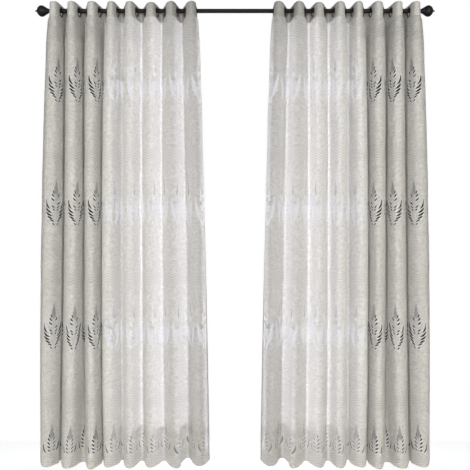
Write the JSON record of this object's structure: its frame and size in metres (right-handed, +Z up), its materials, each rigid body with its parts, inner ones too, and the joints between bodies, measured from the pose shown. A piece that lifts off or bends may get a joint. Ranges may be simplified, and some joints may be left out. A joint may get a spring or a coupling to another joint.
{
  "type": "pair of sheer voile eyelet curtains on a rod",
  "caption": "Pair of long sheer eyelet curtain panels with leaf cutwork, hanging in deep upright folds from a dark rod with bud finials.",
  "frame": {"origin": "on the rod's axis, midway between the two panels", "axes": "+X along the rod to the viewer's right, +Y back from the fold fronts towards the wall, +Z up"},
  "size_m": [2.3586, 0.1657, 2.7078],
  "materials": {
    "voile": "sheer, matt, fine plain weave",
    "heading": "dense, matt, speckled band",
    "eyelet": "dark bronze, satin",
    "rod": "dark brown, satin",
    "finial": "black, embossed, satin"
  },
  "bodies": {
    "root": {"rod": "rod", "finial_left": "finial", "finial_right": "finial", "heading_left": "heading", "heading_right": "heading", "panel_left": "voile", "panel_right": "voile", "eyelet_left_01": "eyelet", "eyelet_left_02": "eyelet", "eyelet_left_03": "eyelet", "eyelet_left_04": "eyelet", "eyelet_left_05": "eyelet", "eyelet_left_06": "eyelet", "eyelet_left_07": "eyelet", "eyelet_left_08": "eyelet", "eyelet_left_09": "eyelet", "eyelet_left_10": "eyelet", "eyelet_left_11": "eyelet", "eyelet_left_12": "eyelet", "eyelet_left_13": "eyelet", "eyelet_left_14": "eyelet", "eyelet_left_15": "eyelet", "eyelet_left_16": "eyelet", "eyelet_right_01": "eyelet", "eyelet_right_02": "eyelet", "eyelet_right_03": "eyelet", "eyelet_right_04": "eyelet", "eyelet_right_05": "eyelet", "eyelet_right_06": "eyelet", "eyelet_right_07": "eyelet", "eyelet_right_08": "eyelet", "eyelet_right_09": "eyelet", "eyelet_right_10": "eyelet", "eyelet_right_11": "eyelet", "eyelet_right_12": "eyelet", "eyelet_right_13": "eyelet", "eyelet_right_14": "eyelet", "eyelet_right_15": "eyelet", "eyelet_right_16": "eyelet"}
  },
  "joints": []
}
